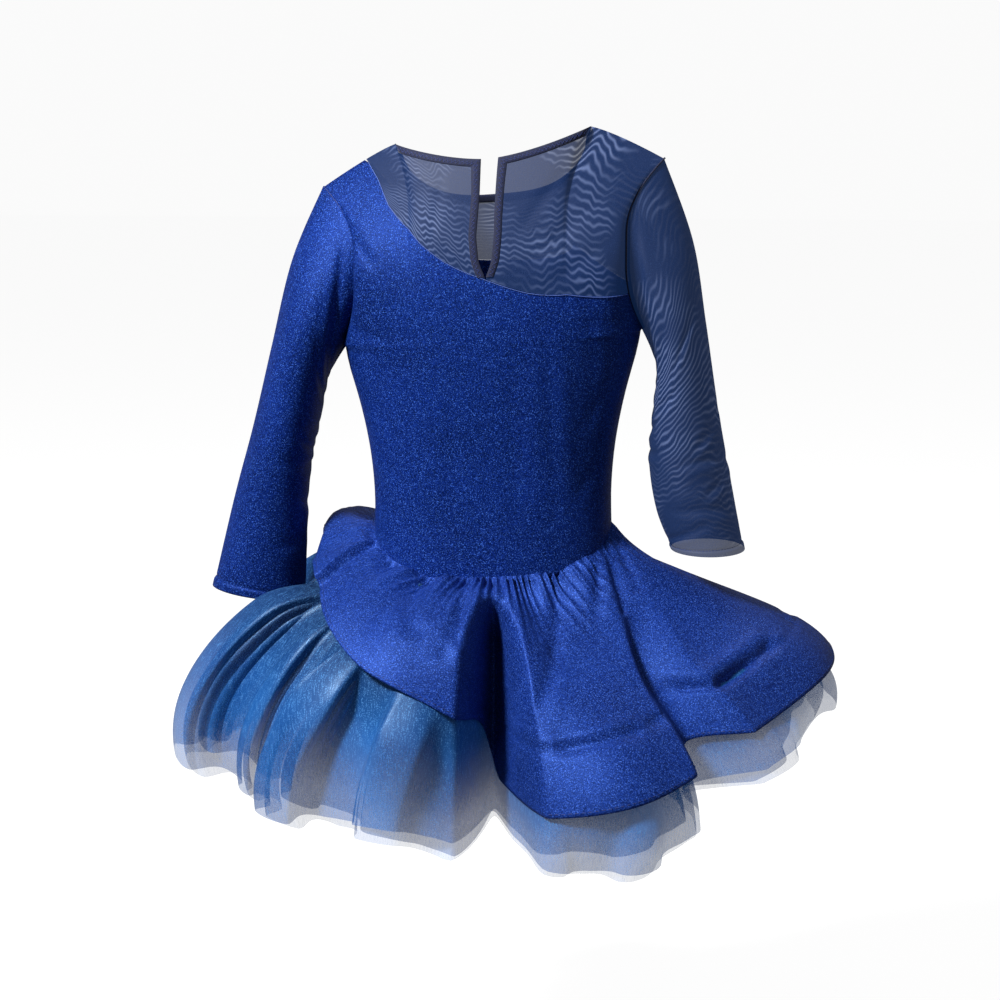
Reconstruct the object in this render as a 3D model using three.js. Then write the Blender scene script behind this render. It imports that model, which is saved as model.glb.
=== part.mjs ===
// Irish dance dress with a one-shoulder satin bodice, a sheer mesh yoke and sleeve, a gathered satin
// skirt and three organza petticoat layers. Millimetres, +Z up, back of the dress towards -Y.
// The origin is at neck height on the centre line of the body, where the wearer's shoulders hold it.
import * as THREE from 'three';

// ---- driving dimensions ----
const WALL = 1.2;             // thickness of every cloth wall
const GAP = 0.5;              // space left between two pieces at a seam
const LEAN_TOP = 0.09;        // rise of the right shoulder over the left, per mm across
const LEAN_WAIST = 0.035;     // the same at the waist

const ARMPIT_Z = -195;
const SHOULDER_X = 166;       // shoulder tip
const SHOULDER_DROP = 36;     // from the neck point to the shoulder tip
const NECK_X = 95;            // neck point
const NECK_BACK = { drop: 21, depth: 48, power: 1.6, round: 1.0 };
const NECK_FRONT = { drop: 60, depth: 66, power: 3, round: 0.6 };
const ARMHOLE_DEPTH = 44;     // the armhole's half width from front to back
const CHEST_DEPTH = 82;
const WAIST_SIDE_Z = -384;    // waist seam at the sides
const WAIST_DIP_BACK = 38;    // how far the seam dips at the centre
const WAIST_DIP_FRONT = 24;

// half width and half depth of the bodice, [height, half width, half depth]
const BODY = [
  [-425, 121, 73],
  [-384, 118, 72],
  [-330, 118, 73],
  [-270, 127, 77],
  [-195, 148, 82],
];

// columns across a panel, as shares of the half width
const ACROSS = [-1, -0.95, -0.85, -0.747, -0.72, -0.66, -0.572, -0.4, -0.2, 0, 0.2, 0.4, 0.572, 0.7, 0.85,
  0.95, 1];
const LEFT_END = 3;           // the satin's cut edge starts at this column, on the shoulder seam

// height of the satin's cut edge at each column from LEFT_END on, as a share of the armhole's height
const CUT_BACK = [1, 0.75, 0.66, 0.575, 0.485, 0.41, 0.36, 0.285, 0.235, 0.22, 0.212, 0.212, 0.225, 0.24];
const CUT_FRONT = [1, 0.77, 0.7, 0.63, 0.55, 0.51, 0.5, 0.49, 0.455, 0.41, 0.355, 0.29, 0.255, 0.24];

// keyhole at the centre back: [share of the way up from the satin's edge, left x, right x]
const KEYHOLE = [
  [0, 0, 0],
  [0.14, -7, 6],
  [0.36, -10, 8],
  [0.7, -7, 8],
  [1, -6, 8],
];
const BINDING = 7;            // width of the neck and keyhole bindings

// sleeves: outer and underarm lines from shoulder to cuff as [x, z], and half depth
const MESH_SLEEVE = {
  side: 1,
  outer: [[166, -21], [195, -100], [209, -180], [222, -262], [236, -335], [250, -405]],
  inner: [[148, -185], [161, -222], [158, -268], [155, -315], [163, -366], [179, -405]],
  depth: [44, 52, 50, 47, 44, 43],
  back: [0, 0, 0, 0, 0, 0],
};
const SATIN_SLEEVE = {
  side: -1,
  outer: [[-166, -50], [-197, -120], [-219, -205], [-240, -285], [-263, -362], [-288, -456]],
  inner: [[-148, -204], [-166, -238], [-176, -286], [-187, -338], [-192, -400], [-196, -468]],
  depth: [44, 52, 48, 42, 37, 34],
  back: [0, 0, 2, 6, 12, 18],
};

// the skirt every 30 degrees from the left side, round by the back: radius and height of the cloth
// 125 mm, 250 mm and 310 mm down from the waist seam
const SKIRT_LENGTH = 310;
const RING_A = [[228, -440], [203, -452], [196, -478], [180, -492], [185, -498], [205, -478],
  [231, -448], [215, -465], [195, -490], [180, -492], [190, -480], [215, -430]];
const RING_B = [[328, -525], [275, -565], [240, -585], [218, -612], [286, -596], [298, -552],
  [344, -513], [320, -535], [285, -580], [262, -598], [275, -585], [310, -540]];
const RING_C = [[350, -572], [272, -637], [247, -649], [228, -645], [291, -668], [328, -600],
  [342, -560], [328, -590], [294, -640], [270, -655], [285, -640], [322, -600]];

// valleys between the skirt's big folds: angle, half width in degrees and share of the radius taken in
const VALLEYS = [
  [95.5, 12, 0.4],
  [143, 8, 0.17],
  [196, 9, 0.14],
  [226, 10, 0.2],
  [258, 10, 0.26],
  [290, 10, 0.22],
  [318, 9, 0.16],
];
// the hollow on the left where the satin sleeve's cuff hangs, and the rise of the cloth beside it
const CUFF_HOLLOW = { angle: 354, half: 24, into: 0.3, down: 34 };
const LEFT_RISE = { angle: 346, half: 27, up: 26 };
// length of the satin as a share of SKIRT_LENGTH, by angle: short on the left, long on the right
const SATIN_HEM = [[0, 0.22], [10, 0.26], [18, 0.27], [35, 0.36], [60, 0.46], [76, 0.5], [85, 0.53],
  [90, 0.57], [93, 0.66], [97, 0.8], [250, 0.8], [290, 0.66], [318, 0.42], [335, 0.3], [346, 0.2],
  [353, 0.17], [360, 0.22]];
const FLUTES = 21;            // tubular flutes round a petticoat
const PETTICOATS = [
  { name: 'petticoat_outer', top: 0.03, under: 4.6, spread: 4, hem: 1, flute: 13 },
  { name: 'petticoat_middle', top: 0.03, under: 10, spread: 8.4, hem: 0.95, flute: 13 },
  { name: 'petticoat_inner', top: 0.03, under: 16.5, spread: 15, hem: 0.96, flute: 13 },
];

// ---- small helpers ----
const V = (x, y, z) => new THREE.Vector3(x, y, z);
const clamp = (x, lo, hi) => Math.min(hi, Math.max(lo, x));
const lerp = (a, b, t) => a + (b - a) * t;
const smooth = (t) => {
  const k = clamp(t, 0, 1);
  return k * k * (3 - 2 * k);
};

// straight-line reading of a list of rows [key, value, value...], column c
function read(rows, key, c = 1) {
  let i = 0;
  while (i < rows.length - 2 && key > rows[i + 1][0]) {
    i += 1;
  }
  const k = clamp((key - rows[i][0]) / (rows[i + 1][0] - rows[i][0]), 0, 1);
  return lerp(rows[i][c], rows[i + 1][c], k);
}

// smooth curve through evenly spaced values, k from 0 to 1, open or closed
function curve(values, k, closed = false) {
  const n = values.length;
  const at = k * (closed ? n : n - 1);
  const i = closed ? Math.floor(at) : clamp(Math.floor(at), 0, n - 2);
  const f = at - i;
  const pick = (j) => (closed ? values[((j % n) + n) % n] : values[clamp(j, 0, n - 1)]);
  const [a, b, c, d] = [pick(i - 1), pick(i), pick(i + 1), pick(i + 2)];
  return b + 0.5 * f * (c - a + f * (2 * a - 5 * b + 4 * c - d + f * (3 * (b - c) + d - a)));
}

const leanAt = (z) => lerp(LEAN_WAIST, LEAN_TOP, clamp((z + 400) / 400, 0, 1));

// ---- bodice: side -1 is the back (near -Y), +1 the front; s across, v 0 waist, 1 armpit, 2 top ----
const round = (s) => Math.pow(Math.max(0, 1 - Math.pow(Math.abs(s), 2.3)), 1 / 2.3);

function waistZ(side, s) {
  const dip = side < 0 ? WAIST_DIP_BACK : WAIST_DIP_FRONT;
  return WAIST_SIDE_Z - dip * Math.pow(Math.max(0, 1 - Math.pow(Math.abs(s), 3)), 0.65);
}

function topOf(side, s) {
  const neck = side < 0 ? NECK_BACK : NECK_FRONT;
  const x = Math.abs(s) * SHOULDER_X;
  if (x >= NECK_X) {
    return { z: -SHOULDER_DROP * Math.pow((x - NECK_X) / (SHOULDER_X - NECK_X), 1.2), depth: 0 };
  }
  const q = x / NECK_X;
  return {
    z: -neck.drop * Math.pow(1 - Math.pow(q, neck.power), neck.round),
    depth: neck.depth * Math.sqrt(1 - q * q),
  };
}

function bodice(side, s, v) {
  let x;
  let depth;
  let z;
  if (v <= 1) {
    z = lerp(waistZ(side, s), ARMPIT_Z, v);
    x = s * read(BODY, z, 1);
    depth = read(BODY, z, 2) * round(s);
  } else {
    const t = v - 1;
    const top = topOf(side, s);
    const low = Math.pow(Math.max(0, 1 - t / 0.4), 2);
    const high = Math.pow(Math.max(0, (t - 0.6) / 0.4), 2);
    const wide = 131 + 17 * low + 35 * high;
    const fade = Math.pow(t, 2.5);
    const bulge = ARMHOLE_DEPTH * Math.pow(Math.max(0, Math.sin(Math.PI * t)), 0.75);
    z = lerp(ARMPIT_Z, top.z, t);
    x = s * wide;
    depth = (1 - fade) * CHEST_DEPTH * round(s) + fade * top.depth + bulge * (1 - Math.pow(round(s), 1.5));
  }
  return V(x, side * depth, z + x * leanAt(z));
}

// ---- sleeves: a runs round from the tip over the back (near) to the underarm, k down the sleeve ----
function sleeveRing(cut, a, k) {
  const ox = curve(cut.outer.map((p) => p[0]), k);
  const oz = curve(cut.outer.map((p) => p[1]), k);
  const ix = curve(cut.inner.map((p) => p[0]), k);
  const iz = curve(cut.inner.map((p) => p[1]), k);
  const c = Math.cos(a);
  const y = curve(cut.back, k) - Math.sin(a) * curve(cut.depth, k);
  return V((ox + ix) / 2 + c * (ox - ix) / 2, y, (oz + iz) / 2 + c * (oz - iz) / 2);
}

// ---- skirt: angle in degrees from the left side round by the back, t down its length ----
const bump = (x) => (Math.abs(x) < 1 ? Math.pow(Math.cos(Math.PI * x / 2), 2) : 0);
const turn = (a) => ((a % 360) + 540) % 360 - 180;

function skirtProfile(angle, waistR, waistHeight, t) {
  const k = (((angle % 360) + 360) % 360) / 360;
  const knots = [0, 0.4, 0.8, 1];
  const rs = [waistR, curve(RING_A.map((p) => p[0]), k, true), curve(RING_B.map((p) => p[0]), k, true),
    curve(RING_C.map((p) => p[0]), k, true)];
  const zs = [waistHeight, curve(RING_A.map((p) => p[1]), k, true), curve(RING_B.map((p) => p[1]), k, true),
    curve(RING_C.map((p) => p[1]), k, true)];
  let r = 0;
  let z = 0;
  for (let i = 0; i < 4; i += 1) {
    let w = 1;
    for (let j = 0; j < 4; j += 1) {
      if (j !== i) {
        w *= (t - knots[j]) / (knots[i] - knots[j]);
      }
    }
    r += w * rs[i];
    z += w * zs[i];
  }
  return [r, z];
}

function skirtPoint(waist, t, layer) {
  const angle = THREE.MathUtils.radToDeg(Math.atan2(-waist.y, -waist.x));
  const waistR = Math.hypot(waist.x, waist.y);
  const [r0, z0] = skirtProfile(angle, waistR, waist.z, t);
  const [r1, z1] = skirtProfile(angle, waistR, waist.z, t + 0.01);
  const length = Math.hypot(r1 - r0, z1 - z0);
  let r = r0;
  let z = z0;
  for (const [at, half, into] of VALLEYS) {
    r -= into * bump(turn(angle - at) / half) * smooth((t - 0.06) / 0.5) * r0;
  }
  const hollow = 1 - Math.pow(1 - bump(turn(angle - CUFF_HOLLOW.angle) / CUFF_HOLLOW.half), 2);
  r -= CUFF_HOLLOW.into * hollow * smooth((t - 0.16) / 0.36) * r0;
  z -= CUFF_HOLLOW.down * hollow * smooth((t - 0.18) / 0.4);
  z += LEFT_RISE.up * bump(turn(angle - LEFT_RISE.angle) / LEFT_RISE.half) * bump((t - 0.22) / 0.22);
  if (layer) {
    const away = layer.spread * smooth(t / 0.25);
    const wave = 0.5 - 0.5 * Math.cos(THREE.MathUtils.degToRad(angle) * FLUTES);
    const calm = 1 - bump(turn(angle - VALLEYS[0][0]) / 22);
    const flute = layer.flute * smooth((t - 0.1) / 0.6) * wave * calm;
    r -= (away + flute) * Math.abs(z1 - z0) / length * 0.7 + (away + flute) * 0.3;
    z -= (away + flute) * 0.6 * (r1 - r0) / length;
  }
  const dir = THREE.MathUtils.degToRad(angle);
  return V(-Math.cos(dir) * r, -Math.sin(dir) * r, z);
}

// ---- grids: pieces is a list of {name, points[row][column], wrap, out, colour...} ----
const pieces = [];
const waistDirections = new Map();

function gridNormal(piece, i, j) {
  const g = piece.points;
  const rows = g.length;
  const cols = g[0].length;
  const jn = piece.wrap ? (j + 1) % cols : Math.min(j + 1, cols - 1);
  const jp = piece.wrap ? (j + cols - 1) % cols : Math.max(j - 1, 0);
  const across = g[i][jn].clone().sub(g[i][jp]);
  const up = g[Math.min(i + 1, rows - 1)][j].clone().sub(g[Math.max(i - 1, 0)][j]);
  return across.cross(up).normalize().multiplyScalar(piece.out);
}

const keyOf = (p) => [p.x, p.y, p.z].map((c) => Math.round(c * 20)).join(',');

// the offset that keeps a whole wall's thickness on every wall meeting at a point
function mitre(normals) {
  const m = new THREE.Matrix3().set(0, 0, 0, 0, 0, 0, 0, 0, 0);
  const e = m.elements;
  const sum = V(0, 0, 0);
  for (const n of normals) {
    const c = [n.x, n.y, n.z];
    for (let a = 0; a < 3; a += 1) {
      for (let b = 0; b < 3; b += 1) {
        e[a * 3 + b] += c[a] * c[b];
      }
    }
    sum.add(n);
  }
  e[0] += 0.003;
  e[4] += 0.003;
  e[8] += 0.003;
  return sum.applyMatrix3(m.invert()).clampLength(0.5, 6);
}

function addPiece(name, points, look, options = {}) {
  const usual = { wrap: false, out: 1, sew: true, inset: GAP / 2, lift: 0, wall: WALL };
  pieces.push({ name, points, ...usual, ...look, ...options });
}

// moves an edge row or column back from its seam
function draw(edge, next, by) {
  return edge.clone().add(next.clone().sub(edge).setLength(by));
}

function meshOf(piece, seams) {
  const { points, wrap, wall, lift } = piece;
  const rows = points.length;
  const cols = points[0].length;
  const outer = [];
  const inner = [];
  for (let i = 0; i < rows; i += 1) {
    for (let j = 0; j < cols; j += 1) {
      const p = points[i][j];
      const list = (piece.sew && seams.get(keyOf(p))) || [gridNormal(piece, i, j)];
      const m = (piece.sew && i === 0 && waistDirections.get(keyOf(p))) || mitre(list);
      let at = p.clone();
      if (piece.sew && i === 0) {
        at = draw(at, points[1][j], piece.inset);
      }
      if (piece.sew && i === rows - 1) {
        at = draw(at, points[rows - 2][j], GAP / 2);
      }
      if (piece.sew && !wrap && j === 0) {
        at.add(points[i][1].clone().sub(p).setLength(GAP / 2));
      }
      if (piece.sew && !wrap && j === cols - 1) {
        at.add(points[i][cols - 2].clone().sub(p).setLength(GAP / 2));
      }
      outer.push(at.clone().addScaledVector(m, lift + wall / 2));
      inner.push(at.clone().addScaledVector(m, lift - wall / 2));
    }
  }
  const count = rows * cols;
  const index = [];
  const quad = (a, b, c, d) => {
    if (piece.out > 0) {
      index.push(a, b, c, a, c, d);
    } else {
      index.push(a, c, b, a, d, c);
    }
  };
  const at = (i, j) => i * cols + (j % cols);
  const spans = wrap ? cols : cols - 1;
  for (let i = 0; i < rows - 1; i += 1) {
    for (let j = 0; j < spans; j += 1) {
      quad(at(i, j), at(i, j + 1), at(i + 1, j + 1), at(i + 1, j));
      quad(count + at(i, j), count + at(i + 1, j), count + at(i + 1, j + 1), count + at(i, j + 1));
    }
  }
  for (let j = 0; j < spans; j += 1) {
    quad(count + at(0, j), count + at(0, j + 1), at(0, j + 1), at(0, j));
    quad(at(rows - 1, j), at(rows - 1, j + 1), count + at(rows - 1, j + 1), count + at(rows - 1, j));
  }
  if (!wrap) {
    for (let i = 0; i < rows - 1; i += 1) {
      quad(at(i + 1, 0), count + at(i + 1, 0), count + at(i, 0), at(i, 0));
      quad(at(i, cols - 1), count + at(i, cols - 1), count + at(i + 1, cols - 1), at(i + 1, cols - 1));
    }
  }
  const geometry = new THREE.BufferGeometry();
  const coords = outer.concat(inner).flatMap((p) => [p.x, p.y, p.z]);
  geometry.setAttribute('position', new THREE.Float32BufferAttribute(coords, 3));
  geometry.setIndex(index);
  geometry.computeVertexNormals();
  const material = new THREE.MeshStandardMaterial({ color: piece.color, roughness: piece.roughness });
  material.name = piece.slot;
  const mesh = new THREE.Mesh(geometry, material);
  mesh.name = piece.name;
  return mesh;
}

const SATIN = { color: 0x1d3292, roughness: 0.45, slot: 'satin' };
const MESH = { color: 0x323c5f, roughness: 0.7, slot: 'mesh' };
const ORGANZA = { color: 0x4a72b4, roughness: 0.5, slot: 'organza' };
const TRIM = { color: 0x0f1437, roughness: 0.6, slot: 'binding' };

// ---- bodice and yokes ----
const LOW_ROWS = 5;           // rows from the waist to the armpit
const HIGH_ROWS = 6;          // rows from the armpit to the satin's edge
const YOKE_ROWS = 5;          // rows from the satin's edge to the top
const cutAt = (cut, j) => (j <= LEFT_END ? 1 : cut[j - LEFT_END]);

function satinPanel(side, cut) {
  const rows = [];
  for (let i = 0; i <= LOW_ROWS; i += 1) {
    rows.push(ACROSS.map((s) => bodice(side, s, i / LOW_ROWS)));
  }
  for (let i = 1; i <= HIGH_ROWS; i += 1) {
    const k = 0.5 - 0.5 * Math.cos(Math.PI * i / HIGH_ROWS);
    rows.push(ACROSS.map((s, j) => bodice(side, s, 1 + cutAt(cut, j) * k)));
  }
  return rows;
}

// the yoke's place at column j, up from the satin's edge; the first column runs up that edge
function yokePlace(cut, j, k) {
  const low = cut[j - LEFT_END];
  const s = j === LEFT_END + 1 ? lerp(ACROSS[j], ACROSS[LEFT_END], k) : ACROSS[j];
  return [s, 1 + lerp(low, 1, k)];
}

function yokePanel(side, cut, first, last, edge) {
  const rows = [];
  for (let i = 0; i <= YOKE_ROWS; i += 1) {
    const k = i / YOKE_ROWS;
    const row = [];
    for (let j = first; j <= last; j += 1) {
      const [s, v] = yokePlace(cut, j, k);
      row.push(bodice(side, edge && edge.column === j ? edge.share(k) : s, v));
    }
    rows.push(row);
  }
  return rows;
}

const CENTRE = ACROSS.indexOf(0);
const SHARE = 1 / 135;        // width share of one millimetre near the centre
const keyLeft = { column: CENTRE, share: (k) => read(KEYHOLE, k, 1) * SHARE };
const keyRight = { column: CENTRE, share: (k) => read(KEYHOLE, k, 2) * SHARE };
const END = ACROSS.length - 1;

addPiece('back_bodice', satinPanel(-1, CUT_BACK), SATIN);
addPiece('front_bodice', satinPanel(1, CUT_FRONT), SATIN, { out: -1 });
addPiece('back_yoke_left', yokePanel(-1, CUT_BACK, LEFT_END + 1, CENTRE, keyLeft), MESH);
addPiece('back_yoke_right', yokePanel(-1, CUT_BACK, CENTRE, END, keyRight), MESH);
addPiece('front_yoke', yokePanel(1, CUT_FRONT, LEFT_END + 1, END, null), MESH, { out: -1 });

// ---- sleeves, on the points of the armhole's edge ----
const SLEEVE_ROWS = 7;

function armhole(end) {
  const rowsOf = (name) => pieces.find((p) => p.name === name).points;
  const upper = (name, from) => rowsOf(name).slice(from).map((row) => row[end < 0 ? 0 : row.length - 1]);
  const back = upper('back_bodice', LOW_ROWS);
  const front = upper('front_bodice', LOW_ROWS);
  if (end > 0) {
    back.push(...upper('back_yoke_right', 1));
    front.push(...upper('front_yoke', 1));
  }
  // from the tip down the back to the armpit and up the front
  return back.reverse().concat(front.slice(1, -1));
}

function sleeve(cut) {
  const loop = armhole(cut.side);
  const low = loop.reduce((best, p, i) => (p.z < loop[best].z ? i : best), 0);
  const spread = loop.map((p, i) => {
    const top = loop[0].z - loop[low].z;
    const c = clamp(1 - 2 * (loop[0].z - p.z) / top, -1, 1);
    return i <= low ? Math.acos(c) : 2 * Math.PI - Math.acos(c);
  });
  const rows = [];
  for (let i = 0; i <= SLEEVE_ROWS; i += 1) {
    const k = i / SLEEVE_ROWS;
    const fade = Math.pow(Math.max(0, 1 - k / 0.45), 2);
    rows.push(loop.map((p, j) => {
      const first = sleeveRing(cut, spread[j], 0);
      return sleeveRing(cut, spread[j], k).addScaledVector(p.clone().sub(first), fade);
    }));
  }
  return rows;
}

addPiece('satin_sleeve', sleeve(SATIN_SLEEVE), SATIN, { wrap: true, out: -1, inset: 1.6 });
addPiece('mesh_sleeve', sleeve(MESH_SLEEVE), MESH, { wrap: true, out: 1, inset: 1.2 });

// ---- skirt and petticoats, under the points of the waist seam ----
const STEP = 7.6;             // degrees between two columns, about

function waistLine(side) {
  const row = pieces.find((p) => p.name === (side < 0 ? 'back_bodice' : 'front_bodice')).points[0];
  const line = side < 0 ? row : row.slice().reverse();
  const out = [];
  const angleOf = (p) => THREE.MathUtils.radToDeg(Math.atan2(-p.y, -p.x));
  const outwards = (p) => V(p.x / 118 ** 2, p.y / 72 ** 2, 0).normalize();
  line.forEach((p) => waistDirections.set(keyOf(p), outwards(p)));
  for (let i = 0; i < line.length - 1; i += 1) {
    const span = Math.abs(turn(angleOf(line[i + 1]) - angleOf(line[i])));
    const middle = angleOf(line[i]) + turn(angleOf(line[i + 1]) - angleOf(line[i])) / 2;
    const steep = Math.min(Math.abs(turn(middle - 95)), Math.abs(turn(middle - CUFF_HOLLOW.angle))) < 20;
    const parts = Math.max(1, Math.round(span / (steep ? STEP / 3 : STEP)));
    for (let m = 0; m < parts; m += 1) {
      const p = line[i].clone().lerp(line[i + 1], m / parts);
      waistDirections.set(keyOf(p), outwards(line[i]).lerp(outwards(line[i + 1]), m / parts));
      out.push(p);
    }
  }
  out.push(line[line.length - 1].clone());
  return out;
}

const backLine = waistLine(-1);
const frontLine = waistLine(1);
const SKIRT_ROWS = [0, 0.06, 0.15, 0.36, 0.58, 0.8];
const hemOf = (p) => {
  const angle = THREE.MathUtils.radToDeg(Math.atan2(-p.y, -p.x));
  return read(SATIN_HEM, (angle + 360) % 360);
};
const skirtRows = (line) => SKIRT_ROWS.map((t) => line.map((p) => skirtPoint(p, t * hemOf(p) / 0.8, null)));
addPiece('back_skirt', skirtRows(backLine), SATIN, { out: -1 });
addPiece('front_skirt', skirtRows(frontLine), SATIN, { out: -1 });

const wholeLine = backLine.concat(frontLine.slice(1, -1));
for (const layer of PETTICOATS) {
  const shares = [layer.top, ...SKIRT_ROWS.slice(2), layer.hem];
  const rows = shares.map((t) => wholeLine.map((p) => skirtPoint(p, t, layer)));
  addPiece(layer.name, rows, ORGANZA, { wrap: true, out: -1, sew: false, lift: -layer.under, wall: 1 });
}

// ---- bindings, laid on the yokes ----
const LIFT = WALL / 2 + 0.7 + 0.5;
const FRONT_LIFT = LIFT + 0.6; // the front neck curves more, so its band stands further off

function bandRows(side, outerPath, innerPath) {
  return [outerPath, innerPath].map((path) => path.map(([s, v]) => bodice(side, s, v)));
}

function backBinding(edge, sign) {
  const last = sign < 0 ? LEFT_END + 2 : END - 3;
  const outerPath = [];
  const innerPath = [];
  for (let j = last; j !== CENTRE; j -= sign) {
    if (Math.abs(ACROSS[j]) * SHOULDER_X <= NECK_X + 1) {
      outerPath.push([ACROSS[j] * 0.998, 1.998]);
      innerPath.push([ACROSS[j] * 0.998, 1.998 - BINDING / 180]);
    }
  }
  const pull = sign * BINDING * SHARE;
  outerPath.push([edge.share(1), 1.998]);
  innerPath.push([edge.share(1) + pull, 1.998 - BINDING / 180]);
  for (const k of [0.85, 0.7, 0.53, 0.36, 0.14, 0.02]) {
    const v = 1 + lerp(CUT_BACK[CENTRE - LEFT_END], 1, k);
    outerPath.push([edge.share(k), v]);
    innerPath.push([edge.share(k) + pull, v + (k < 0.1 ? 0.01 : 0)]);
  }
  return bandRows(-1, outerPath, innerPath);
}

const bandLook = { sew: false, lift: LIFT, wall: 1 };
addPiece('neck_binding_left', backBinding(keyLeft, -1), TRIM, { ...bandLook, out: -1 });
addPiece('neck_binding_right', backBinding(keyRight, 1), TRIM, { ...bandLook, out: 1 });

const frontNeck = ACROSS.filter((s) => Math.abs(s) * SHOULDER_X <= NECK_X + 1).map((s) => s * 0.998);
addPiece(
  'neck_band_front',
  bandRows(1, frontNeck.map((s) => [s, 1.998]), frontNeck.map((s) => [s, 1.998 - BINDING / 150])),
  TRIM,
  { ...bandLook, lift: FRONT_LIFT, out: 1 },
);

// ---- sewing: normals of every wall that meets at a point ----
const seams = new Map();
for (const piece of pieces.filter((p) => p.sew)) {
  piece.points.forEach((row, i) => row.forEach((p, j) => {
    const key = keyOf(p);
    if (!seams.has(key)) {
      seams.set(key, []);
    }
    seams.get(key).push(gridNormal(piece, i, j));
  }));
}

const dress = new THREE.Group();
dress.name = 'irish_dance_dress';
for (const piece of pieces) {
  dress.add(meshOf(piece, seams));
}

export default dress;
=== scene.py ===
import math
import random

import bpy
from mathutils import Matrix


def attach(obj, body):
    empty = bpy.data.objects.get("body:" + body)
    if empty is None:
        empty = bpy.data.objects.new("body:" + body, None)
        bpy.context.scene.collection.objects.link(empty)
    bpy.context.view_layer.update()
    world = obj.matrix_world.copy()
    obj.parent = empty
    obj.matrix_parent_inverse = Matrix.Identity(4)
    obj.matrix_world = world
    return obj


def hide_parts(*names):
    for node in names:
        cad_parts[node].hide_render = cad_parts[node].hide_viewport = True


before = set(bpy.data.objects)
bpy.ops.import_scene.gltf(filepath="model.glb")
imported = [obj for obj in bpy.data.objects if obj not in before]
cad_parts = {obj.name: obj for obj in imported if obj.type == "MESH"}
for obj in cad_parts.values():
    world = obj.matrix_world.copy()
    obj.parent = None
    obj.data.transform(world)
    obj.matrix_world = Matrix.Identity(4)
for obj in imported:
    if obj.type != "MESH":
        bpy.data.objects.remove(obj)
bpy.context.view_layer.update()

MM = 0.001
DETAIL = 1.0     # share of the full number of faces

# ---------------------------------------------------------------------------
# cutting sizes, in millimetres; the back of the dress faces -Y
# ---------------------------------------------------------------------------
LEAN_TOP, LEAN_WAIST = 0.09, 0.035
ARMPIT_Z = -195
SHOULDER_X, SHOULDER_DROP, NECK_X = 166, 36, 95
NECK_BACK = (21, 48, 1.6, 1.0)
NECK_FRONT = (60, 66, 3, 0.6)
ARMHOLE_DEPTH, CHEST_DEPTH = 44, 82
WAIST_SIDE_Z, WAIST_DIP_BACK, WAIST_DIP_FRONT = -384, 38, 24
BODY = [(-425, 121, 73), (-384, 118, 72), (-330, 118, 73), (-270, 127, 77), (-195, 148, 82)]

# the satin's cut edge: share of the half width, share of the armhole's height
CUT_BACK = [(-0.747, 1), (-0.72, 0.75), (-0.66, 0.66), (-0.572, 0.575), (-0.4, 0.485), (-0.2, 0.41),
            (0, 0.36), (0.2, 0.285), (0.4, 0.235), (0.572, 0.22), (0.7, 0.212), (0.85, 0.212),
            (0.95, 0.225), (1, 0.24)]
CUT_FRONT = [(-0.747, 1), (-0.72, 0.77), (-0.66, 0.7), (-0.572, 0.63), (-0.4, 0.55), (-0.2, 0.51),
             (0, 0.5), (0.2, 0.49), (0.4, 0.455), (0.572, 0.41), (0.7, 0.355), (0.85, 0.29),
             (0.95, 0.255), (1, 0.24)]
KEYHOLE = [(0, 0, 0), (0.14, -7, 6), (0.36, -10, 8), (0.7, -7, 8), (1, -6, 8)]
CENTRE_SHARE = 1 / 135
BINDING_WIDTH = 7

MESH_SLEEVE = {
    "outer": [(166, -21), (195, -100), (209, -180), (222, -262), (236, -335), (250, -405)],
    "inner": [(148, -185), (161, -222), (158, -268), (155, -315), (163, -366), (179, -405)],
    "depth": [44, 52, 50, 47, 44, 43], "back": [0, 0, 0, 0, 0, 0], "side": 1}
SATIN_SLEEVE = {
    "outer": [(-166, -50), (-197, -120), (-219, -205), (-240, -285), (-263, -362), (-288, -456)],
    "inner": [(-148, -204), (-166, -238), (-176, -286), (-187, -338), (-192, -400), (-196, -468)],
    "depth": [44, 52, 48, 42, 37, 34], "back": [0, 0, 2, 6, 12, 18], "side": -1}

SKIRT_LENGTH = 310
RING_A = [(228, -440), (203, -452), (196, -478), (180, -492), (185, -498), (205, -478),
          (231, -448), (215, -465), (195, -490), (180, -492), (190, -480), (215, -430)]
RING_B = [(328, -525), (275, -565), (240, -585), (218, -612), (286, -596), (298, -552),
          (344, -513), (320, -535), (285, -580), (262, -598), (275, -585), (310, -540)]
RING_C = [(350, -572), (272, -637), (247, -649), (228, -645), (291, -668), (328, -600),
          (342, -560), (328, -590), (294, -640), (270, -655), (285, -640), (322, -600)]
VALLEYS = [(95.5, 11, 0.5), (143, 8, 0.17), (196, 9, 0.14), (226, 10, 0.2), (258, 10, 0.26),
           (290, 10, 0.22), (318, 9, 0.16)]
CUFF_HOLLOW = (354, 24, 0.3, 34)
LEFT_RISE = (346, 27, 26)
SATIN_HEM = [(0, 0.22), (10, 0.26), (18, 0.27), (35, 0.36), (60, 0.46), (76, 0.5), (85, 0.53),
             (90, 0.57), (93, 0.66), (97, 0.8), (250, 0.8), (290, 0.66), (318, 0.44), (335, 0.38),
             (346, 0.35), (354, 0.25), (360, 0.22)]
HEM_BAND = 0.18        # depth of the skirt's wide turned hem, as a share of SKIRT_LENGTH


# ---------------------------------------------------------------------------
# curves and the garment's surfaces
# ---------------------------------------------------------------------------
def lerp(a, b, t):
    return a + (b - a) * t


def clamp(x, low=0.0, high=1.0):
    return min(high, max(low, x))


def smooth(t):
    t = clamp(t)
    return t * t * (3 - 2 * t)


def bump(x):
    return math.cos(math.pi * x / 2) ** 2 if abs(x) < 1 else 0.0


def turn(a):
    return (a + 180) % 360 - 180


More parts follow.
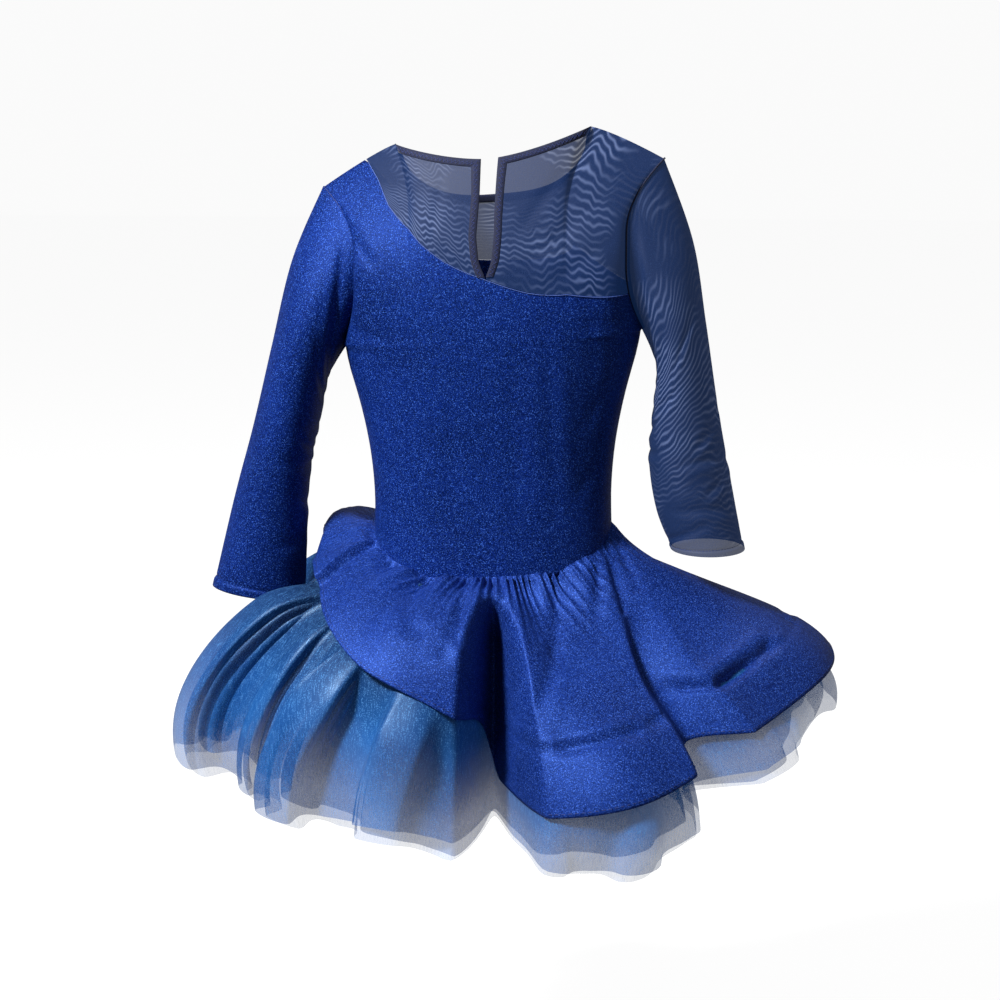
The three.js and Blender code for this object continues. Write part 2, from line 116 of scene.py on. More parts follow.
def read(rows, key, column=1):
    """Straight-line reading of rows (key, value, ...)."""
    i = 0
    while i < len(rows) - 2 and key > rows[i + 1][0]:
        i += 1
    k = clamp((key - rows[i][0]) / (rows[i + 1][0] - rows[i][0]))
    return lerp(rows[i][column], rows[i + 1][column], k)


def read_soft(rows, key, column=1, reach=0.03):
    """The same reading with its corners eased."""
    return sum(read(rows, key + reach * d, column) for d in (-1, -0.5, 0, 0.5, 1)) / 5


def cut_height(cut, s):
    """The satin's cut edge, its corners eased away from the shoulder."""
    reach = 0.1 * clamp((s + 0.73) / 0.2)
    return read_soft(cut, s, 1, reach) if reach > 0.001 else read(cut, s)


def curve(values, k, closed=False):
    n = len(values)
    at = k * (n if closed else n - 1)
    i = math.floor(at) if closed else int(clamp(math.floor(at), 0, n - 2))
    f = at - i

    def pick(j):
        return values[j % n] if closed else values[int(clamp(j, 0, n - 1))]

    a, b, c, d = pick(i - 1), pick(i), pick(i + 1), pick(i + 2)
    return b + 0.5 * f * (c - a + f * (2 * a - 5 * b + 4 * c - d + f * (3 * (b - c) + d - a)))


def lean(z):
    return lerp(LEAN_WAIST, LEAN_TOP, clamp((z + 400) / 400))


def roundness(s):
    return max(0.0, 1 - abs(s) ** 2.3) ** (1 / 2.3)


def waist_z(side, s):
    dip = WAIST_DIP_BACK if side < 0 else WAIST_DIP_FRONT
    return WAIST_SIDE_Z - dip * max(0.0, 1 - abs(s) ** 3) ** 0.65


def top_edge(side, s):
    """Height and depth of the shoulder seam and the neck edge."""
    drop, depth, power, ease = NECK_BACK if side < 0 else NECK_FRONT
    x = abs(s) * SHOULDER_X
    if x >= NECK_X:
        return -SHOULDER_DROP * ((x - NECK_X) / (SHOULDER_X - NECK_X)) ** 1.2, 0.0
    q = x / NECK_X
    return -drop * (1 - q ** power) ** ease, depth * math.sqrt(1 - q * q)


def bodice(side, s, v):
    """side -1 back, 1 front; s across; v is 0 at the waist, 1 at the armpit and 2 at the top."""
    if v <= 1:
        z = lerp(waist_z(side, s), ARMPIT_Z, v)
        x = s * read_soft(BODY, z, 1, 25)
        depth = read_soft(BODY, z, 2, 25) * roundness(s)
    else:
        t = v - 1
        top_z, top_depth = top_edge(side, s)
        wide = 131 + 17 * max(0.0, 1 - t / 0.4) ** 2 + 35 * max(0.0, (t - 0.6) / 0.4) ** 2
        fade = t ** 2.5
        bulge = ARMHOLE_DEPTH * max(0.0, math.sin(math.pi * t)) ** 0.75
        z = lerp(ARMPIT_Z, top_z, t)
        x = s * wide
        depth = (1 - fade) * CHEST_DEPTH * roundness(s) + fade * top_depth
        depth += bulge * (1 - roundness(s) ** 1.5)
    return x, side * depth, z + x * lean(z)


EASE_REACH = 0.09      # how far above and below the armpit line the panel is averaged


def crease_depth(x, z, lines):
    """Sum of soft troughs, each a line (x, z, x, z, half width, depth), shallower at its ends."""
    total = 0.0
    for x0, z0, x1, z1, wide, deep in lines:
        dx, dz = x1 - x0, z1 - z0
        k = clamp(((x - x0) * dx + (z - z0) * dz) / (dx * dx + dz * dz))
        gap2 = (x - x0 - k * dx) ** 2 + (z - z0 - k * dz) ** 2
        if gap2 < 9 * wide * wide:
            along = 0.35 + 0.65 * math.sin(math.pi * clamp(k, 0.08, 0.92))
            total += deep * math.exp(-gap2 / (wide * wide)) * along
    return total


BACK_CREASES = [
    (-164, -62, -112, -118, 6, 3.2), (-158, -56, -139, -150, 5, 3.4), (-146, -150, -120, -205, 7, 2.2),
    (-140, -178, -96, -196, 6, 1.6), (58, -175, 66, -360, 9, 1.5), (84, -190, 90, -345, 8, 1.3),
    (26, -215, 30, -365, 10, 1.4), (-30, -230, -34, -370, 11, 1.2), (100, -150, 98, -330, 9, 1.6),
    (-118, -250, -88, -290, 7, 1.4),
    (-114, -300, -84, -335, 6, 1.2), (118, -235, 94, -275, 7, 1.3), (112, -310, 88, -340, 6, 1.2),
    (104, -60, 40, -118, 7, 1.2), (118, -96, 60, -138, 6, 1.0), (80, -20, 34, -84, 6, 1.2),
    (-44, -40, -52, -96, 5, 0.8),
]
FRONT_CREASES = [
    (-160, -62, -104, -126, 6, 2.8), (152, -60, 104, -120, 6, 2.2), (-140, -180, -90, -204, 7, 1.8),
    (136, -170, 92, -200, 7, 1.8), (-60, -190, -66, -350, 9, 1.3), (20, -180, 26, -360, 10, 1.2),
    (70, -205, 74, -350, 9, 1.3), (-114, -262, -84, -300, 7, 1.3), (114, -262, 84, -300, 7, 1.3),
    (-104, -330, -76, -352, 6, 1.1), (104, -330, 76, -352, 6, 1.1), (-20, -215, -22, -340, 8, 0.9),
]


def panel_point(side, s, v):
    """The bodice with its creases, and with the bend at the armpit line eased."""
    x, y, z = bodice(side, s, v)
    near = bump((v - 1) / 0.16) * clamp((1 - abs(s)) / 0.3)
    if near:
        under = bodice(side, s, v - EASE_REACH)
        over = bodice(side, s, v + EASE_REACH)
        y = lerp(y, 0.5 * (under[1] + over[1]), 0.8 * near)
    lines = BACK_CREASES if side < 0 else FRONT_CREASES
    sink = crease_depth(x, z, lines)
    edge = clamp((1 - abs(s)) / 0.08)
    return x, y - side * sink * edge, z


def sleeve_ring(cut, a, k):
    ox, oz = (curve([p[i] for p in cut["outer"]], k) for i in (0, 1))
    ix, iz = (curve([p[i] for p in cut["inner"]], k) for i in (0, 1))
    c = math.cos(a)
    y = curve(cut["back"], k) - math.sin(a) * curve(cut["depth"], k)
    return (ox + ix) / 2 + c * (ox - ix) / 2, y, (oz + iz) / 2 + c * (oz - iz) / 2


def armhole_point(cut, a):
    """The armhole's edge at angle a: 0 at the shoulder tip, a quarter turn at the back."""
    near = math.sin(a) >= 0
    t = 0.5 + 0.5 * math.cos(a)
    return bodice(-1 if near else 1, cut["side"], 1 + t)


CUFF_BAND = 13         # depth of the cuff's turned hem
CUFF_RAISE, CUFF_GROOVE = 1.5, 1.9


def sleeve_point(cut, a, k, wrinkles):
    """The sleeve's surface: its ring eased into the armhole, wrinkled, with a turned hem at the cuff."""
    x, y, z = sleeve_ring(cut, a, k)
    fade = max(0.0, 1 - k / 0.45) ** 2
    if fade:
        first = sleeve_ring(cut, a, 0)
        edge = armhole_point(cut, a)
        x, y, z = (v + (e - f) * fade for v, e, f in zip((x, y, z), edge, first))
    mid = sleeve_ring(cut, 0, k)
    low = sleeve_ring(cut, math.pi, k)
    cx, cz = (mid[0] + low[0]) / 2, (mid[2] + low[2]) / 2
    cy = curve(cut["back"], k)
    out = 0.0
    for at, around, half, slope, wide, deep in wrinkles:
        away = turn(math.degrees(a) - around)
        side = bump(away / half)
        if side:
            gap = (k - at - slope * away / 90) / wide
            out -= deep * side * math.exp(-gap * gap)
            out += 0.45 * deep * side * math.exp(-(gap - 1.7) ** 2)
    length = math.dist(sleeve_ring(cut, 0, 0), sleeve_ring(cut, 0, 1))
    hem = (1 - k) * length
    out += CUFF_RAISE * smooth((CUFF_BAND - hem) / 2 + 0.5)
    out -= CUFF_GROOVE * math.exp(-((hem - CUFF_BAND) / 1.4) ** 2)
    size = math.sqrt((x - cx) ** 2 + (y - cy) ** 2 + (z - cz) ** 2) or 1.0
    out *= smooth(k / 0.06)
    return x + out * (x - cx) / size, y + out * (y - cy) / size, z + out * (z - cz) / size


# wrinkles of the sleeves: place down the sleeve, angle round it, half reach in degrees, slope,
# width as a share of the sleeve, depth
SATIN_WRINKLES = [
    (0.1, 120, 80, 0.1, 0.022, 3.5), (0.17, 150, 80, 0.12, 0.02, 3), (0.26, 165, 75, 0.1, 0.022, 2.2),
    (0.42, 170, 85, -0.05, 0.02, 1.8), (0.5, 175, 90, 0.04, 0.018, 2.4), (0.57, 160, 80, -0.04, 0.02, 2),
    (0.7, 190, 70, 0.05, 0.02, 1.4), (0.82, 150, 60, -0.06, 0.02, 1.3), (0.13, 235, 80, -0.1, 0.022, 3),
    (0.22, 215, 80, -0.12, 0.02, 2.4), (0.47, 200, 80, 0.05, 0.02, 1.8),
]
MESH_WRINKLES = [
    (0.12, 130, 85, 0.12, 0.022, 3.6), (0.2, 150, 80, 0.14, 0.02, 3), (0.29, 170, 80, 0.1, 0.02, 2.2),
    (0.4, 160, 90, -0.06, 0.018, 2.2), (0.48, 175, 90, 0.05, 0.018, 2.6),
    (0.56, 190, 85, -0.05, 0.018, 2.4),
    (0.63, 40, 60, 0.06, 0.016, 1.6), (0.7, 60, 70, -0.06, 0.016, 1.8), (0.77, 30, 70, 0.07, 0.016, 1.8),
    (0.84, 70, 80, -0.05, 0.016, 1.8), (0.9, 120, 80, 0.05, 0.015, 1.6), (0.34, 60, 60, 0.06, 0.018, 1.4),
    (0.15, 230, 80, -0.12, 0.02, 3), (0.52, 250, 80, 0.06, 0.018, 1.8), (0.74, 260, 80, -0.06, 0.018, 1.8),
]


PROFILE_STEPS = (0, 0.4, 0.8, 1)     # shares of the skirt's length where its profile is given


def skirt_profile(angle, waist_r, waist_height):
    """Radii and heights of the skirt's line at an angle, at the PROFILE_STEPS."""
    k = (angle % 360) / 360
    rings = (RING_A, RING_B, RING_C)
    radii = [curve([p[0] for p in ring], k, True) for ring in rings]
    heights = [curve([p[1] for p in ring], k, True) for ring in rings]
    return [waist_r] + radii, [waist_height] + heights


def through(values, t):
    """The smooth curve through four values at the PROFILE_STEPS."""
    knots = PROFILE_STEPS
    total = 0.0
    for i in range(4):
        w = 1.0
        for j in range(4):
            if j != i:
                w *= (t - knots[j]) / (knots[i] - knots[j])
        total += w * values[i]
    return total


PROFILE_SLICE = 0.01
MAIN_VALLEY, SLANTED_VALLEY = 95.5, 143     # the deep fold at the middle, and one that slants


class Column:
    """One line of the skirt from the waist seam down, at one place of the seam."""

    def __init__(self, side, s):
        x, y, z = bodice(side, s, 0)
        self.angle = math.degrees(math.atan2(-y, -x)) % 360
        self.radii, self.heights = skirt_profile(self.angle, math.hypot(x, y), z)

    def point(self, t, extra, sideways=None):
        """The place at share t of the length. extra(angle, t) gives the cloth's own folds: out along
        the profile's normal, and inwards. sideways(angle, t) turns the place round the waist."""
        angle = self.angle
        shift = sideways(angle, t) if sideways else 0.0
        r0 = through(self.radii, t)
        z0 = through(self.heights, t)
        dr = through(self.radii, t + PROFILE_SLICE) - r0
        dz = through(self.heights, t + PROFILE_SLICE) - z0
        length = math.hypot(dr, dz)
        r, z = r0, z0
        for at, half, into in VALLEYS:
            centre = at + (16 * (1 - smooth(t / 0.55)) if at == SLANTED_VALLEY else 0)
            away = turn(angle - centre) / half
            if abs(away) < 1:
                opens = smooth((t - 0.04) / (0.34 if at == MAIN_VALLEY else 0.5))
                r -= into * bump(away) ** 0.7 * opens * r0
        at, half, into, down = CUFF_HOLLOW
        hollow = 1 - (1 - bump(turn(angle - at) / half)) ** 2
        let_go = 1 - 0.48 * smooth((t - 0.55) / 0.35)
        r -= into * hollow * smooth((t - 0.16) / 0.36) * r0 * let_go
        z -= down * hollow * smooth((t - 0.18) / 0.4)
        at, half, up = LEFT_RISE
        z += up * bump(turn(angle - at) / half) * bump((t - 0.22) / 0.22)
        out, inward = extra(angle, t)
        r += out * -dz / length - inward * (0.7 * abs(dz) / length + 0.3)
        z += out * dr / length - inward * 0.6 * dr / length
        a = math.radians(angle + shift)
        return -math.cos(a) * r, -math.sin(a) * r, z


def seam_share(u):
    """Where a column of a half ring stands on the waist seam."""
    return -math.cos(math.pi * u)


def waves(count, fewest, most):
    """Waves round the skirt: how many round it, where they start, how strong."""
    return [(random.uniform(fewest, most), random.uniform(0, 6.28), random.uniform(0.4, 1))
            for _ in range(count)]


def ripple_of(chosen, angle):
    return sum(w * math.sin(math.radians(angle) * n + p) for n, p, w in chosen) / 1.6


random.seed(7)
GATHERS = waves(7, 26, 74)
LONG_FOLDS = waves(4, 11, 19)
GATHER_HEIGHT, LONG_FOLD_HEIGHT = 8.5, 4.4
# creases of the satin skirt: lines (angle, share, angle, share, half width in mm, depth in mm)
SKIRT_CREASES = [
    (138, 0, 118, 0.3, 7, 4.5), (118, 0.3, 102, 0.56, 8, 4.0), (50, 0.01, 68, 0.27, 9, 6),
    (84, 0.05, 80, 0.34, 8, 4), (166, 0.02, 150, 0.24, 6, 6), (158, 0.01, 140, 0.2, 5, 5),
    (174, 0.02, 160, 0.2, 5, 4), (80, 0.02, 84, 0.3, 6, 5), (30, 0.02, 40, 0.2, 6, 2.5),
    (148, 0.598, 167, 0.598, 4.5, 9), (148, 0.55, 167, 0.55, 9, -4.5), (110, 0.6, 127, 0.6, 3.5, 4.5),
    (110, 0.57, 127, 0.57, 6, -2.5), (99, 0.6, 108, 0.6, 3.5, 4), (99, 0.57, 108, 0.57, 6, -2.5),
    (128, 0.6, 136, 0.59, 3.5, 3), (188, 0.02, 182, 0.3, 7, 4), (208, 0.02, 204, 0.35, 8, 5),
    (240, 0.02, 238, 0.35, 8, 5), (274, 0.02, 270, 0.32, 8, 5), (304, 0.02, 300, 0.25, 7, 4),
    (186, 0.6, 196, 0.6, 4, 3), (214, 0.6, 222, 0.6, 4, 3), (242, 0.6, 252, 0.6, 4, 3),
]


def hem_share(angle):
    """Where the satin ends, as a share of the skirt's length."""
    return read_soft(SATIN_HEM, angle, 1, 1.5)


def satin_folds(angle, t):
    """Gathers, long folds, creases, the left tuck and the wide hem of the satin skirt."""
    hem = hem_share(angle)
    busy = 0.35 + 0.65 * max(bump(turn(angle - 105) / 80), bump(turn(angle - 262) / 85))
    near_seam = clamp(t / 0.018) * math.exp(-t / 0.085)
    out = GATHER_HEIGHT * busy * near_seam * (0.55 - abs(ripple_of(GATHERS, angle)) ** 0.8)
    long_reach = clamp(t / 0.03) * math.exp(-t / 0.24)
    out += LONG_FOLD_HEIGHT * long_reach * ripple_of(LONG_FOLDS, angle)
    for a0, t0, a1, t1, wide, deep in SKIRT_CREASES:
        if abs(turn(angle - (a0 + a1) / 2)) > 40:
            continue
        scale = 1.3 + 4.2 * min(t, 0.6)
        dx, dz = turn(a1 - a0) * scale, (t1 - t0) * SKIRT_LENGTH
        px, pz = turn(angle - a0) * scale, (t - t0) * SKIRT_LENGTH
        k = clamp((px * dx + pz * dz) / (dx * dx + dz * dz))
        gap2 = (px - k * dx) ** 2 + (pz - k * dz) ** 2
        if gap2 < 9 * wide * wide:
            along = math.sin(math.pi * clamp(k, 0.15, 0.85)) ** 0.7
            out -= deep * math.exp(-gap2 / (wide * wide)) * along
    # the tuck on the left, where the hem laps over the skirt
    line = lerp(13, 23, clamp(t / 0.27))
    past = turn(angle - line)
    if -26 < past < 16:
        from_seam = smooth(t / 0.06)
        lip = 1 if past < 0 else math.exp(-(past / 0.9) ** 2)
        dip = 0 if past < 0.5 else math.exp(-((past - 2) / 2.5) ** 2)
        out += 7 * smooth((past + 26) / 20) * from_seam * lip
        out -= 3 * from_seam * dip
    # the wide turned hem: a thicker band, a pressed stitch line and puckers above it
    band = smooth((angle - 96) / 3) * smooth((300 - angle) / 10)
    above = (hem - HEM_BAND - t) * SKIRT_LENGTH
    out += band * 0.9 * smooth(-above / 2 + 0.5)
    out -= band * 1.6 * math.exp(-(above / 1.6) ** 2)
    ripple = math.sin(math.radians(angle) * 34) + 0.7 * math.sin(math.radians(angle) * 53 + 1)
    out += band * ripple * math.exp(-((above - 7) / 6) ** 2)
    # a slight wave of the hem's edge
    out += 2.2 * math.sin(math.radians(angle) * 15 + 1.3) * smooth((t - 0.35) / 0.4)
    return out, 0.0


# tubular folds of the petticoats: angle at the hem, angle at the waist, half width, height
TUBES = [
    (1, 10, 4, 14), (15, 27, 8.5, 34), (29, 42, 4.5, 12), (43, 56, 9, 32), (69, 78, 13, 30),
    (108, 109, 6, 14), (125, 121, 8, 18), (139, 136, 4, 9), (157, 151, 9, 17), (174, 169, 6, 14),
    (187, 185, 4, 10), (207, 206, 8, 26), (218, 217, 3.5, 14), (241, 240, 8, 26), (252, 251, 4, 14),
    (272, 272, 8, 28), (284, 283, 4, 14), (305, 306, 8, 26), (330, 330, 7, 24), (344, 346, 5, 18),
]
PROUD = 7              # how far a tube's crest stands out of the layer's own surface
DEEP_LAP, SHALLOW_LAP = 0.32, 0.1    # how far a tube's sides fold over, on the left and elsewhere
LAST_DEEP = 50         # the tubes up to this angle fold over deeply
SINK = 9               # how far the cloth between two tubes falls back


class Fluted:
    """A petticoat layer: where a column's cloth goes sideways and how far it stands out or sinks."""

    def __init__(self, under, spread, depth, phase, wrinkle):
        """under is the layer's gap below the satin at the waist, and spread how much it grows."""
        self.under = under
        self.spread = spread
        self.depth = depth
        self.phase = phase
        self.wrinkle = wrinkle

    def growth(self, angle, t):
        """The tubes open out past the satin's hem."""
        return smooth((t - read(SATIN_HEM, angle % 360) + 0.12) / 0.32)

    def tube(self, angle, t):
        """The tube that holds this column: the place in it, -1 to 1, its half width, height and lap."""
        for low, high, half, height in TUBES:
            middle = lerp(high, low, smooth(t)) + 1.5 * math.sin(5 * t + low)
            x = turn(angle - middle) / half
            if abs(x) < 1:
                return x, half, height * self.depth, (DEEP_LAP if low < LAST_DEEP else SHALLOW_LAP)
        return 0.0, 0.0, 0.0, 0.0

    def sideways(self, angle, t):
        x, half, _, lap = self.tube(angle, t)
        return lap * half * self.growth(angle, t) * math.sin(2 * math.pi * x)

    def folds(self, angle, t):
        """How far the cloth stands out, and how far it is pressed in under the satin."""
        a = math.radians(angle)
        grow = self.growth(angle, t)
        x, half, height, _ = self.tube(angle, t)
        crest = height * (0.5 + 0.5 * math.cos(math.pi * x)) if half else 0.0
        calm = 1 - bump(turn(angle - MAIN_VALLEY) / 14)
        drift = 5 * math.sin(a * 5 + self.phase) + 3 * math.sin(a * 11 + self.phase * 2)
        proud = min(crest - SINK, PROUD + 0.3 * crest) * grow * calm + drift * grow * calm
        inward = self.spread * smooth(t / 0.25) + 12 * bump((t - 0.22) / 0.24)
        wavelet = math.sin(a * 31 + self.phase * 3 + 3 * t)
        wavelet += 0.7 * math.sin(a * 47 + self.phase * 5 - 7 * t)
        gather = 0.8 * math.exp(-t / 0.12) * math.sin(a * 60 + self.phase)
        wrinkles = self.wrinkle * smooth((t - 0.3) / 0.5) * wavelet * calm
        return gather - self.under + wrinkles + proud, inward


# ---------------------------------------------------------------------------
# finishes
# ---------------------------------------------------------------------------
class Value:
    """A socket whose arithmetic adds Math nodes."""

    def __init__(self, finish, socket):
        self.finish = finish
        self.socket = socket

    def maths(self, operation, first, second=None, clip=False):
        settings = {"operation": operation, "use_clamp": clip}
        return self.finish.node("ShaderNodeMath", settings, {0: first, 1: second})

    def __add__(self, other):
        return self.maths("ADD", self, other)

    def __radd__(self, other):
        return self.maths("ADD", other, self)

    def __sub__(self, other):
        return self.maths("SUBTRACT", self, other)

    def __rsub__(self, other):
        return self.maths("SUBTRACT", other, self)

    def __mul__(self, other):
        return self.maths("MULTIPLY", self, other)

    def __rmul__(self, other):
        return self.maths("MULTIPLY", other, self)

    def sine(self):
        return self.maths("SINE", self)

    def clipped(self):
        return self.maths("ADD", self, 0.0, True)


class Finish:
    """A cloth's material."""

    def __init__(self, name, **constants):
        self.material = bpy.data.materials.new(name)
        self.material.use_nodes = True
        self.tree = self.material.node_tree
        self.shader = self.tree.nodes["Principled BSDF"]
        for socket, value in constants.items():
            self.shader.inputs[socket.replace("_", " ")].default_value = value

    def node(self, kind, settings, inputs, output=0):
        made = self.tree.nodes.new(kind)
        for key, value in settings.items():
            setattr(made, key, value)
        for slot, value in inputs.items():
            if value is not None:
                self.plug(made.inputs[slot], value)
        return Value(self, made.outputs[output])

    def plug(self, socket, value):
        if isinstance(value, Value):
            self.tree.links.new(value.socket, socket)
        else:
            socket.default_value = value

    def feed(self, socket, value):
        self.plug(self.shader.inputs[socket], value)

    def place(self, kind="Object"):
        return self.node("ShaderNodeTexCoord", {}, {}, kind)

    def stretched(self, source, scale):
        return self.node("ShaderNodeMapping", {}, {"Vector": source, "Scale": scale})

    def noise(self, source, scale, detail=2.0, rough=0.5):
        inputs = {"Vector": source, "Scale": scale, "Detail": detail, "Roughness": rough}
        return self.node("ShaderNodeTexNoise", {}, inputs, 0)

    def blend(self, factor, first, second):
        made = self.tree.nodes.new("ShaderNodeMix")
        made.data_type = "RGBA"
        self.plug(made.inputs[0], factor)
        self.plug(made.inputs[6], first)
        self.plug(made.inputs[7], second)
        return Value(self, made.outputs[2])

    def relief(self, height, strength, distance):
        inputs = {"Height": height, "Strength": strength, "Distance": distance}
        self.feed("Normal", self.node("ShaderNodeBump", {}, inputs))

    def spread(self, value, low, high):
        """value from low..high stretched to 0..1."""
        return ((value - low) * (1 / (high - low))).clipped()


def satin_finish(name, rough, shine, low, high, glint_colour):
    """Grain between two colours, with bright flecks: glitter whose sparkle is painted into the colour as
    glints.
    """
    cloth = Finish(name, Specular_IOR_Level=shine, Specular_Tint=(0.08, 0.2, 0.8, 1))
    where = cloth.place()
    grain = cloth.noise(where, 700, 3, 0.7)
    fleck = cloth.noise(where, 1000, 1, 0.5)
    broad = cloth.noise(where, 13, 2, 0.5)
    body = cloth.blend(cloth.spread(grain * 0.85 + broad * 0.15, 0.42, 0.6), low, high)
    glitter_glint = cloth.spread(fleck, 0.58, 0.7)
    # painted glints: the glitter flecks are lightened towards the bright glint colour, standing in for
    # their sparkle
    cloth.feed("Base Color", cloth.blend(glitter_glint * 0.6, body, glint_colour))
    cloth.feed("Roughness", rough - glitter_glint * 0.15 + grain * 0.1)
    cloth.relief(grain + fleck * 0.6, 0.5, 0.0006)
    return cloth.material


def mesh_finish():
    """See-through navy weave with the wavy stripes that two layers of it make, and a faint painted navy
    glow.
    """
    # the emission is a painted glow: the mesh gives off a faint navy light of its own
    cloth = Finish("navy_mesh", Specular_IOR_Level=0.15, Emission_Color=(0.006, 0.02, 0.07, 1),
                   Emission_Strength=0.6)
    flat = cloth.place("UV")
    where = cloth.place()
    wobble = cloth.noise(cloth.stretched(flat, (22, 10, 1)), 1.0, 2, 0.5)
    along = cloth.node("ShaderNodeSeparateXYZ", {}, {0: flat}, 1)
    stripes = (along * 760 + wobble * 46).sine() * 0.5 + 0.5
    patch = cloth.spread(cloth.noise(where, 14, 2, 0.5), 0.42, 0.62)
    weave = cloth.noise(where, 1400, 1, 0.5)
    lines = stripes * stripes * stripes * patch
    shade = cloth.blend(lines, (0.002, 0.011, 0.05, 1), (0.1, 0.14, 0.28, 1))
    shade = cloth.blend(cloth.spread(weave, 0.55, 0.75) * 0.4, shade, (0.03, 0.06, 0.17, 1))
    cloth.feed("Base Color", shade)
    cloth.feed("Alpha", (0.88 - lines * 0.14 + weave * 0.08 + patch * 0.03).clipped())
    cloth.feed("Roughness", 0.55 + weave * 0.15)
    cloth.relief(weave, 0.25, 0.0004)
    return cloth.material


def organza_finish(name, body, colour, pale):
    """See-through cloth, denser towards the waist and darker there, partly from the denser cover and
    partly from painted shade under the satin, with painted glints and a faint painted glow; body is its
    least cover.
    """
    # Emission_Strength gives a painted glow, standing in for light passing through the sheer cloth
    cloth = Finish(name, Sheen_Weight=0.18, Sheen_Roughness=0.3, Sheen_Tint=(0.35, 0.6, 1, 1),
                   Specular_IOR_Level=0.4, Specular_Tint=(0.45, 0.7, 1, 1), Emission_Strength=0.14)
    flat = cloth.place("UV")
    where = cloth.place()
    thread = cloth.noise(cloth.stretched(flat, (1300, 90, 1)), 1.0, 2, 0.6)
    shimmer = cloth.noise(where, 1000, 2, 0.6)
    broad = cloth.noise(cloth.stretched(flat, (14, 6, 1)), 1.0, 3, 0.55)
    from_hem = cloth.node("ShaderNodeSeparateXYZ", {}, {0: flat}, 1)
    dense_and_shaded = cloth.spread(from_hem + broad * 0.08, 0.06, 0.19)
    shade = cloth.blend(cloth.spread(broad, 0.36, 0.64), colour, pale)
    # deep marks the cloth under the satin skirt's hem, darkened below with a painted shadow
    deep = cloth.spread(from_hem + broad * 0.08, 0.14, 0.25)
    # darker towards the waist: partly the denser cover, partly painted shade under the satin
    shade = cloth.blend(dense_and_shaded * 0.6, shade, (0.0015, 0.02, 0.1, 1))
    shade = cloth.blend(deep * 0.92, shade, (0.0007, 0.005, 0.03, 1))
    # painted glints: bright blue specks along the threads and the shimmer
    glint = cloth.spread(shimmer * 0.6 + thread * 0.4, 0.52, 0.64)
    cloth.feed("Base Color", cloth.blend(glint * 0.55, shade, (0.13, 0.38, 0.8, 1)))
    # painted glow: the cloth emits its own colour
    cloth.feed("Emission Color", shade)
    cover = body + dense_and_shaded * 0.45 + thread * 0.14 + broad * 0.18 + glint * 0.08
    cloth.feed("Alpha", cover.clipped())
    cloth.feed("Roughness", 0.42 - glint * 0.12)
    cloth.relief(thread + shimmer, 0.3, 0.0005)
    return cloth.material


def binding_finish():
    cloth = Finish("navy_binding", Sheen_Weight=0.15, Sheen_Roughness=0.5, Specular_IOR_Level=0.3)
    rib = cloth.noise(cloth.place(), 1100, 2, 0.6)
    shade = cloth.blend(cloth.spread(rib, 0.4, 0.65), (0.002, 0.004, 0.02, 1), (0.008, 0.014, 0.06, 1))
    cloth.feed("Base Color", shade)
    cloth.feed("Roughness", 0.65 + rib * 0.15)
    cloth.relief(rib, 0.35, 0.0005)
    return cloth.material


def thread_finish(name, colour):
    cloth = Finish(name, Roughness=0.55)
    twist = cloth.noise(cloth.place(), 2200, 1, 0.5)
    dark = tuple(c * 0.55 for c in colour[:3]) + (1,)
    cloth.feed("Base Color", cloth.blend(twist, dark, colour))
    return cloth.material


# ---------------------------------------------------------------------------
# sewing tools
# ---------------------------------------------------------------------------
def only(piece):
    bpy.ops.object.select_all(action="DESELECT")
    piece.select_set(True)
    bpy.context.view_layer.objects.active = piece


def sew(name, columns, rows, place, width, length, tube=False):
    """A sheet of the given number of faces whose points lie at place(u, v), with its map in metres."""
    columns = max(8, int(columns * DETAIL))
    rows = max(2, int(rows * DETAIL))
    bpy.ops.object.select_all(action="DESELECT")
    bpy.ops.mesh.primitive_grid_add(x_subdivisions=columns, y_subdivisions=rows, size=1, calc_uvs=True)
    cloth = bpy.context.object
    cloth.name = name
    cloth.data.name = name
    for point in cloth.data.vertices:
        x, y, z = place(point.co.x + 0.5, point.co.y + 0.5)
        point.co = (x * MM, y * MM, z * MM)
    for corner in cloth.data.uv_layers.active.data:
        corner.uv = (corner.uv[0] * width, corner.uv[1] * length)
    if tube:
        bpy.ops.object.mode_set(mode="EDIT")
        bpy.ops.mesh.select_all(action="SELECT")
        bpy.ops.mesh.remove_doubles(threshold=0.00002)
        bpy.ops.object.mode_set(mode="OBJECT")
    bpy.ops.object.shade_smooth()
    return cloth


def thicken(cloth, millimetres):
    wall = cloth.modifiers.new("wall", "SOLIDIFY")
    wall.thickness = millimetres * MM
    wall.offset = -1
    only(cloth)
    bpy.ops.object.modifier_apply(modifier=wall.name)


def hand_over(piece, material, slot, *nodes):
    piece.data.materials.clear()
    piece.data.materials.append(material)
    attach(piece, "root")
    if nodes:
        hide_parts(*nodes)


def stitches(name, runs, material, thick=0.35):
    """Short threads, each a straight stitch between two points, as one piece."""
    line = bpy.data.curves.new(name, "CURVE")
    line.dimensions = "3D"
    line.bevel_depth = thick * MM
    line.bevel_resolution = 0
    line.use_fill_caps = True
    for start, end in runs:
        thread = line.splines.new("POLY")
        thread.points.add(1)
        thread.points[0].co = (start[0] * MM, start[1] * MM, start[2] * MM, 1)
        thread.points[1].co = (end[0] * MM, end[1] * MM, end[2] * MM, 1)
    piece = bpy.data.objects.new(name, line)
    bpy.context.collection.objects.link(piece)
    only(piece)
    bpy.ops.object.convert(target="MESH")
    piece = bpy.context.object
    hand_over(piece, material, "binding")
    return piece
